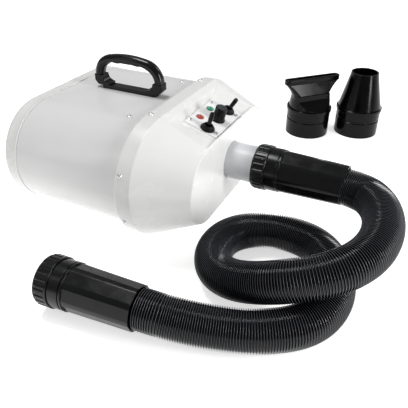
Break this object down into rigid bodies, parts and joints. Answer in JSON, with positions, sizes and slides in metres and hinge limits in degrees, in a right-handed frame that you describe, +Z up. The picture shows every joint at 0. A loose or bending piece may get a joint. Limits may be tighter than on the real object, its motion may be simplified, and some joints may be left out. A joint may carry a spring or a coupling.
{
  "type": "pet dryer",
  "caption": "Flat-sided pet dryer with a control panel, top carrying handle, ribbed air hose and two slip-on nozzles.",
  "frame": {"origin": "centre, in plan, of the box round the dryer and its two nozzles, on the table that they stand on; hose and cuffs not counted", "axes": "+Z up; +X from the intake towards the outlet; +Y towards the nozzles, away from the hose"},
  "size_m": [0.5382, 0.7143, 0.2159],
  "materials": {
    "white_moulding": "glossy white moulding",
    "white_enamel": "glossy white enamel",
    "pale_moulding": "satin off-white moulding",
    "ring_moulding": "satin grey moulding",
    "black_rubber": "matt black",
    "zinc_screw": "bright plated",
    "grey_foam": "open-cell, matt",
    "black_moulding": "satin black moulding",
    "pressed_steel": "zinc-plated sheet",
    "cast_aluminium": "die cast",
    "rotor_metal": "ground steel and copper",
    "stator_iron": "laminated, varnished",
    "circuit_board": "green laminate",
    "mica_board": "mica laminate",
    "heater_wire": "resistance wire",
    "panel_enamel": "satin silver-grey enamel",
    "switch_moulding": "black moulding",
    "switch_boot": "black rubber",
    "lever_metal": "dark plated",
    "shaft_metal": "turned",
    "knob_moulding": "black moulding",
    "knob_disc": "spun aluminium",
    "red_lens": "clear red lens",
    "green_lens": "clear green lens",
    "grip_moulding": "glossy black moulding",
    "hose_skin": "glossy black flexible",
    "cuff_moulding": "satin-gloss black moulding",
    "collar_moulding": "glossy black moulding",
    "nozzle_moulding": "glossy black moulding"
  },
  "bodies": {
    "casing": {"rear_cap": "white_moulding", "case_screws": "zinc_screw", "body_tube": "white_enamel", "front_hood": "white_moulding", "joint_ring": "ring_moulding", "rear_feet": "black_rubber", "front_feet": "black_rubber", "foot_screws": "zinc_screw", "cable_gland": "black_moulding", "gland_nut": "black_moulding", "filter_foam": "grey_foam", "filter_retainer": "black_moulding", "bulkhead": "black_moulding", "motor_gaskets": "black_rubber", "motor_mount_rings": "black_rubber", "front_frame": "black_moulding", "circuit_board": "circuit_board", "outlet_spigot": "pale_moulding", "spigot_screws": "zinc_screw", "heater_duct": "pressed_steel", "heater_frame": "mica_board", "heater_coil": "heater_wire", "thermal_cutout": "switch_moulding", "panel_plate": "panel_enamel", "panel_screws": "zinc_screw", "selector_switch": "switch_moulding", "red_lamp": "red_lens", "green_lamp": "green_lens", "handle_grip": "grip_moulding", "handle_ends": "grip_moulding", "handle_base": "grip_moulding", "handle_bolts": "zinc_screw", "near_fan_can": "pressed_steel", "near_stator": "stator_iron", "near_motor_frame": "cast_aluminium", "near_toggle_switch": "switch_moulding", "near_toggle_boot": "switch_boot", "far_fan_can": "pressed_steel", "far_stator": "stator_iron", "far_motor_frame": "cast_aluminium", "far_toggle_switch": "switch_moulding", "far_toggle_boot": "switch_boot"},
    "near_rotor": {"near_impeller": "cast_aluminium", "near_armature": "rotor_metal"},
    "far_rotor": {"far_impeller": "cast_aluminium", "far_armature": "rotor_metal"},
    "near_toggle": {"near_toggle_lever": "lever_metal"},
    "far_toggle": {"far_toggle_lever": "lever_metal"},
    "knob": {"selector_shaft": "shaft_metal", "selector_knob": "knob_moulding", "knob_cap": "knob_disc"},
    "hose_line": {"hose": "hose_skin", "outlet_sleeve": "cuff_moulding", "end_sleeve": "cuff_moulding"},
    "outlet_grip_ring": {"outlet_collar": "collar_moulding"},
    "end_grip_ring": {"end_collar": "collar_moulding"},
    "round_nozzle": {"cone_nozzle": "nozzle_moulding", "cone_liner": "black_rubber"},
    "slot_nozzle": {"flat_nozzle": "nozzle_moulding", "flat_liner": "black_rubber"}
  },
  "joints": [
    {"name": "near_fan_spin", "type": "hinge", "parent": "casing", "child": "near_rotor", "pos_m": [-0.12425, -0.19705, 0.0884], "axis": [1, 0, 0], "continuous": true},
    {"name": "far_fan_spin", "type": "hinge", "parent": "casing", "child": "far_rotor", "pos_m": [-0.12425, -0.07305, 0.0884], "axis": [1, 0, 0], "continuous": true},
    {"name": "near_toggle_throw", "type": "hinge", "parent": "casing", "child": "near_toggle", "pos_m": [0.05046, -0.16705, 0.14885], "axis": [0, 1, 0], "range_deg": [-16, 16]},
    {"name": "far_toggle_throw", "type": "hinge", "parent": "casing", "child": "far_toggle", "pos_m": [0.05046, -0.10305, 0.14885], "axis": [0, 1, 0], "range_deg": [-32, 0]},
    {"name": "knob_turn", "type": "hinge", "parent": "casing", "child": "knob", "pos_m": [0.05046, -0.13505, 0.14885], "axis": [0.309, 0, 0.9511], "range_deg": [-270, 0]},
    {"name": "hose_pull_off", "type": "slide", "parent": "casing", "child": "hose_line", "axis": [1, 0, 0], "range_m": [0, 0.04]},
    {"name": "outlet_ring_turn", "type": "hinge", "parent": "hose_line", "child": "outlet_grip_ring", "pos_m": [0.12175, -0.13505, 0.093], "axis": [1, 0, 0], "continuous": true},
    {"name": "end_ring_turn", "type": "hinge", "parent": "hose_line", "child": "end_grip_ring", "pos_m": [-0.03576, -0.39153, 0.031], "axis": [0.9986, 0.0523, 0], "continuous": true},
    {"name": "round_nozzle_lift", "type": "slide", "parent": "casing", "child": "round_nozzle", "axis": [0, 0, 1], "range_m": [0, 0.1]},
    {"name": "slot_nozzle_lift", "type": "slide", "parent": "casing", "child": "slot_nozzle", "axis": [0, 0, 1], "range_m": [0, 0.1]}
  ]
}
